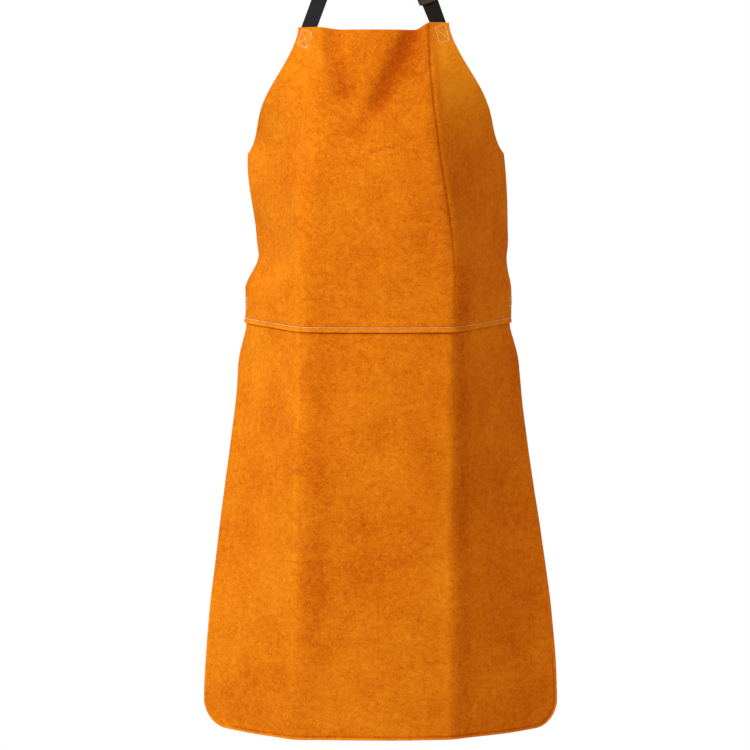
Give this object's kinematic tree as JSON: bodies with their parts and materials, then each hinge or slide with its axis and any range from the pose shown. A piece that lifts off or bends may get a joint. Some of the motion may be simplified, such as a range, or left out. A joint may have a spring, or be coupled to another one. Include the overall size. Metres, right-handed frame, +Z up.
{
  "type": "welding apron",
  "caption": "Bib apron of orange split leather, bib lapped over a long skirt, worn from a webbing neck strap and a waist strap, each with a side-release buckle.",
  "frame": {"origin": "middle of the neck strap's inner face at the back of the wearer's neck", "axes": "+Z up, -Y the way the apron's front faces, +X to the right as the front is looked at"},
  "size_m": [0.5551, 0.2778, 1.2533],
  "materials": {
    "suede_leather": "napped split leather, dry and matte",
    "webbing": "woven black webbing",
    "thread": "cream sewing thread",
    "buckle_plastic": "black moulded plastic, semi-gloss"
  },
  "bodies": {
    "apron": {"bib_panel": "suede_leather", "skirt_panel": "suede_leather", "waist_seam_stitching": "thread", "bib_left_box_stitching": "thread", "bib_right_box_stitching": "thread", "waist_left_box_stitching": "thread", "waist_right_box_stitching": "thread", "waist_strap_bartack": "thread", "neck_strap": "webbing", "neck_strap_short": "webbing", "neck_buckle_socket": "buckle_plastic", "waist_strap": "webbing", "waist_strap_short": "webbing", "waist_buckle_socket": "buckle_plastic"},
    "neck_tongue": {"neck_buckle_tongue": "buckle_plastic", "neck_strap_adjusting_run": "webbing"},
    "neck_left_prong": {"neck_buckle_left_prong": "buckle_plastic"},
    "neck_right_prong": {"neck_buckle_right_prong": "buckle_plastic"},
    "waist_tongue": {"waist_buckle_tongue": "buckle_plastic", "waist_strap_adjusting_run": "webbing"},
    "waist_left_prong": {"waist_buckle_left_prong": "buckle_plastic"},
    "waist_right_prong": {"waist_buckle_right_prong": "buckle_plastic"}
  },
  "joints": [
    {"name": "neck_release", "type": "slide", "parent": "apron", "child": "neck_tongue", "axis": [-0.3518, 0.0305, 0.9356], "range_m": [0, 0.02], "deforming": ["neck_strap_adjusting_run", "neck_buckle_left_prong", "neck_buckle_right_prong"]},
    {"name": "neck_right_prong_squeeze", "type": "hinge", "parent": "neck_tongue", "child": "neck_right_prong", "pos_m": [0.08171, -0.14813, -0.03602], "axis": [-0.4001, 0.8987, -0.1797], "range_deg": [0, 20], "stiffness_Nm_per_rad": 0.1},
    {"name": "neck_left_prong_squeeze", "type": "hinge", "parent": "neck_tongue", "child": "neck_left_prong", "pos_m": [0.06478, -0.15689, -0.0421], "axis": [0.4001, -0.8987, 0.1797], "range_deg": [0, 20], "stiffness_Nm_per_rad": 0.1},
    {"name": "waist_release", "type": "slide", "parent": "apron", "child": "waist_tongue", "axis": [-1, 0, 0], "range_m": [0, 0.02], "deforming": ["waist_strap_adjusting_run", "waist_buckle_left_prong", "waist_buckle_right_prong"]},
    {"name": "waist_right_prong_squeeze", "type": "hinge", "parent": "waist_tongue", "child": "waist_right_prong", "pos_m": [0.00225, 0.06413, -0.534], "axis": [0, -1, 0], "range_deg": [0, 20], "stiffness_Nm_per_rad": 0.1},
    {"name": "waist_left_prong_squeeze", "type": "hinge", "parent": "waist_tongue", "child": "waist_left_prong", "pos_m": [0.00225, 0.06413, -0.514], "axis": [0, 1, 0], "range_deg": [0, 20], "stiffness_Nm_per_rad": 0.1}
  ],
  "couplings": [
    {"joint": "neck_left_prong_squeeze", "follows": "neck_right_prong_squeeze", "ratio": 1},
    {"joint": "waist_left_prong_squeeze", "follows": "waist_right_prong_squeeze", "ratio": 1}
  ]
}
